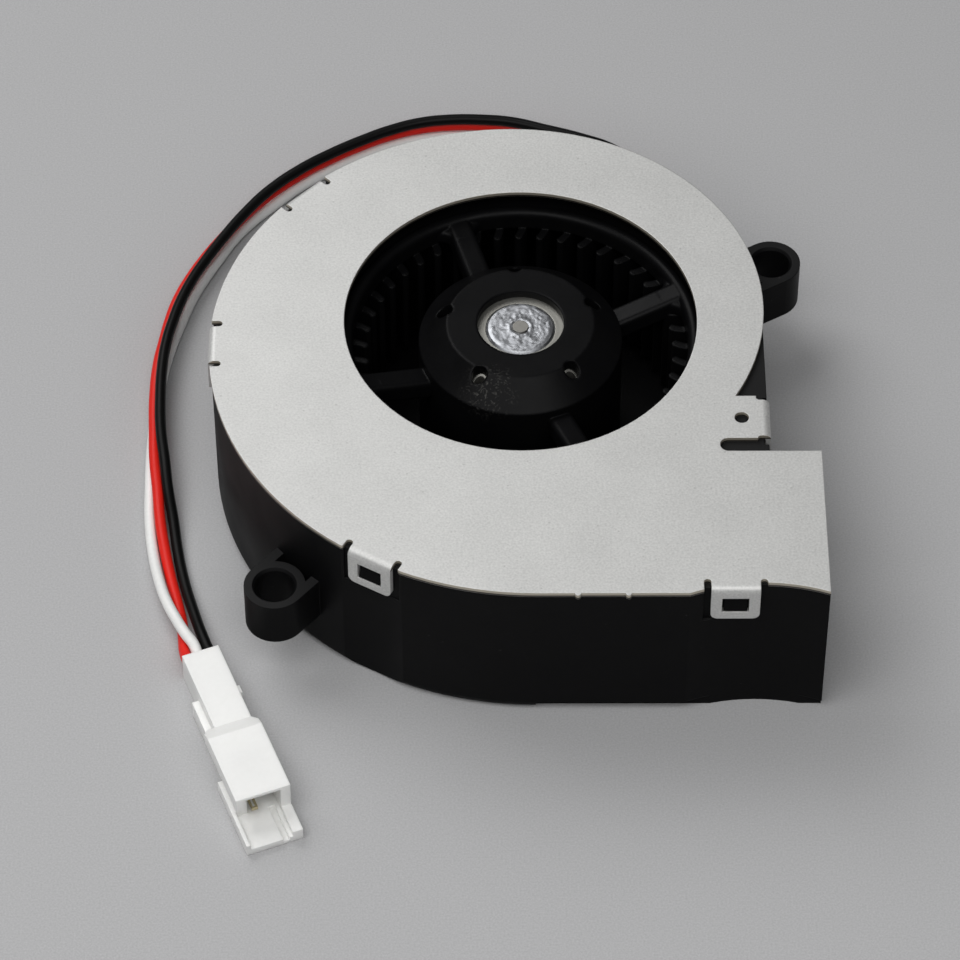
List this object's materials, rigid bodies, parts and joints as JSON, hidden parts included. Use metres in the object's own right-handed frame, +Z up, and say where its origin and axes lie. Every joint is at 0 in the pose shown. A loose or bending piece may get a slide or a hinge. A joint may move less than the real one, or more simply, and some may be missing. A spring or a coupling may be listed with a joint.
{
  "type": "centrifugal blower fan",
  "caption": "Flat centrifugal blower: black scroll housing with screw ears, zinc-coated steel cover with round inlet, bladed impeller on an outer-rotor motor, side outlet and leads to a plug.",
  "frame": {"origin": "on the impeller's axis, in the plane of the underside", "axes": "+Z up along the impeller's axis towards the inlet in the cover, +X the way the air leaves the outlet"},
  "size_m": [0.0861, 0.1246, 0.023],
  "materials": {
    "housing_plastic": "fine moulded grain, glass-filled PBT",
    "zinc_steel": "zinc-coated sheet, fine spangle",
    "impeller_plastic": "moulded, semi-gloss",
    "rotor_steel": "drawn and zinc-plated",
    "magnet": "rubber-bonded ferrite",
    "die_casting": "as cast",
    "bearing_steel": "ground",
    "turned_brass": "turned",
    "core_steel": "stamped sheets",
    "nylon": "moulded",
    "copper_wire": "enamelled copper wire",
    "circuit_board": "solder mask",
    "chip_plastic": "moulded",
    "ceramic_parts": "fired ceramic",
    "black_insulation": "extruded vinyl",
    "red_insulation": "extruded vinyl",
    "white_insulation": "extruded vinyl",
    "connector_nylon": "moulded nylon",
    "contact_brass": "plated"
  },
  "bodies": {
    "housing": {"scroll_housing": "housing_plastic", "top_cover": "zinc_steel", "upper_bearing_outer": "bearing_steel", "upper_bearing_balls": "bearing_steel", "lower_bearing_outer": "bearing_steel", "lower_bearing_balls": "bearing_steel", "bearing_tube": "turned_brass", "stator_core": "core_steel", "upper_insulator": "nylon", "lower_insulator": "nylon", "stator_windings": "copper_wire", "driver_board": "circuit_board", "hall_sensor": "chip_plastic", "driver_chip": "chip_plastic", "board_parts": "ceramic_parts", "inner_leads": "black_insulation", "black_lead": "black_insulation", "red_lead": "red_insulation", "white_lead": "white_insulation", "connector_housing": "connector_nylon", "connector_pins": "contact_brass"},
    "rotor": {"impeller": "impeller_plastic", "rotor_yoke": "rotor_steel", "rotor_magnet": "magnet", "rotor_boss": "die_casting", "rotor_shaft": "bearing_steel", "upper_bearing_inner": "bearing_steel", "lower_bearing_inner": "bearing_steel", "preload_spring": "bearing_steel", "retaining_clip": "bearing_steel"}
  },
  "joints": [
    {"name": "rotor_spin", "type": "hinge", "parent": "housing", "child": "rotor", "pos_m": [0, 0, 0.0115], "axis": [0, 0, 1], "continuous": true}
  ]
}
